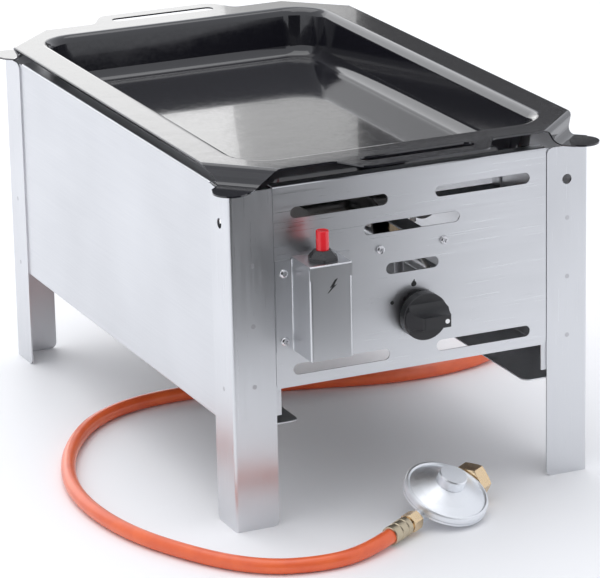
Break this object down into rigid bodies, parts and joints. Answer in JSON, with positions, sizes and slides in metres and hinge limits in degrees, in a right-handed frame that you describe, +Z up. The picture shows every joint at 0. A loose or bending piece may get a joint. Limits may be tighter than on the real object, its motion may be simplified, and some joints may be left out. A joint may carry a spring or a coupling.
{
  "type": "gas griddle burner",
  "caption": "Free-standing gas griddle burner: steel housing on angle legs, lift-off black enamelled pan, knob, push-button ignition, and an orange hose with its bottle regulator.",
  "frame": {"origin": "on the floor, under the middle of the housing", "axes": "+X right, +Y to the back, +Z up; the knob faces -Y"},
  "size_m": [0.579, 0.6935, 0.32],
  "materials": {
    "stainless": "fine satin stainless sheet",
    "enamel": "glossy black vitreous enamel",
    "burner_steel": "drawn steel tube",
    "plain_steel": "galvanised steel",
    "zinc_steel": "zinc-plated steel",
    "brass": "machined brass",
    "ferrule_brass": "dull crimped brass",
    "copper": "bare copper",
    "knob_black": "satin black phenolic",
    "bezel_black": "glossy black plastic",
    "igniter_grey": "moulded plastic",
    "button_red": "glossy red plastic",
    "ceramic": "glazed ceramic",
    "lead_sleeve": "silicone sleeve",
    "hose_orange": "smooth orange rubber",
    "regulator_silver": "silver painted die casting",
    "diaphragm_rubber": "black rubber"
  },
  "bodies": {
    "housing": {"front_panel": "stainless", "back_panel": "stainless", "left_side_panel": "stainless", "right_side_panel": "stainless", "leg_front_left": "stainless", "leg_front_right": "stainless", "leg_rear_left": "stainless", "leg_rear_right": "stainless", "igniter_box": "stainless", "burner_tube_left": "burner_steel", "burner_tube_right": "burner_steel", "burner_end_caps": "burner_steel", "burner_manifold": "burner_steel", "mixing_tube": "burner_steel", "burner_rail_front": "plain_steel", "burner_rail_rear": "plain_steel", "burner_clamps": "plain_steel", "valve_bracket": "plain_steel", "ignition_bracket": "plain_steel", "gas_supply_tube": "plain_steel", "feed_tube": "plain_steel", "clamp_screws": "zinc_steel", "bracket_screws": "zinc_steel", "igniter_box_screws": "zinc_steel", "valve_screws": "zinc_steel", "valve_spring": "zinc_steel", "igniter_spring": "zinc_steel", "thermocouple_probe": "zinc_steel", "spark_electrode": "zinc_steel", "valve_body": "brass", "valve_bonnet": "brass", "injector_holder": "brass", "injector": "brass", "supply_nuts": "brass", "inlet_elbow": "brass", "inlet_locknut": "brass", "hose_inlet_nut": "brass", "hose_outlet_nut": "brass", "hose_outlet_nipple": "brass", "hose_inlet_ferrule": "ferrule_brass", "hose_outlet_ferrule": "ferrule_brass", "thermocouple_lead": "copper", "magnet_unit": "copper", "igniter_bezel": "bezel_black", "igniter_body": "igniter_grey", "electrode_insulator": "ceramic", "spark_lead": "lead_sleeve", "gas_hose": "hose_orange", "regulator_body": "regulator_silver", "regulator_cover": "regulator_silver", "regulator_cap": "regulator_silver", "regulator_diaphragm": "diaphragm_rubber"},
    "pan": {"griddle_pan": "enamel"},
    "stem": {"push_rod": "zinc_steel"},
    "knob": {"control_knob": "knob_black", "knob_clip": "zinc_steel", "valve_spindle": "zinc_steel"},
    "plug": {"valve_plug": "brass"},
    "button": {"igniter_button": "button_red"},
    "union_nut": {"bottle_nut": "brass"}
  },
  "joints": [
    {"name": "pan_lift", "type": "slide", "parent": "housing", "child": "pan", "axis": [0, 0, 1], "range_m": [0, 0.12]},
    {"name": "knob_push", "type": "slide", "parent": "housing", "child": "stem", "axis": [0, 1, 0], "range_m": [0, 0.004], "stiffness_N_per_m": 1500, "springref_m": -0.003, "deforming": ["valve_spring"]},
    {"name": "knob_turn", "type": "hinge", "parent": "stem", "child": "knob", "pos_m": [0.0059, -0.28, 0.1721], "axis": [0, -1, 0], "range_deg": [0, 160]},
    {"name": "plug_turn", "type": "hinge", "parent": "housing", "child": "plug", "pos_m": [0.0059, -0.2355, 0.1721], "axis": [0, -1, 0], "range_deg": [0, 160]},
    {"name": "igniter_press", "type": "slide", "parent": "housing", "child": "button", "axis": [0, 0, -1], "range_m": [0, 0.008], "stiffness_N_per_m": 1200, "springref_m": -0.003, "deforming": ["igniter_spring"]},
    {"name": "union_nut_turn", "type": "hinge", "parent": "housing", "child": "union_nut", "pos_m": [0.04277, -0.29314, 0.01736], "axis": [0.8616, 0.5035, 0.0636], "continuous": true}
  ],
  "couplings": [
    {"joint": "plug_turn", "follows": "knob_turn", "ratio": 1}
  ]
}
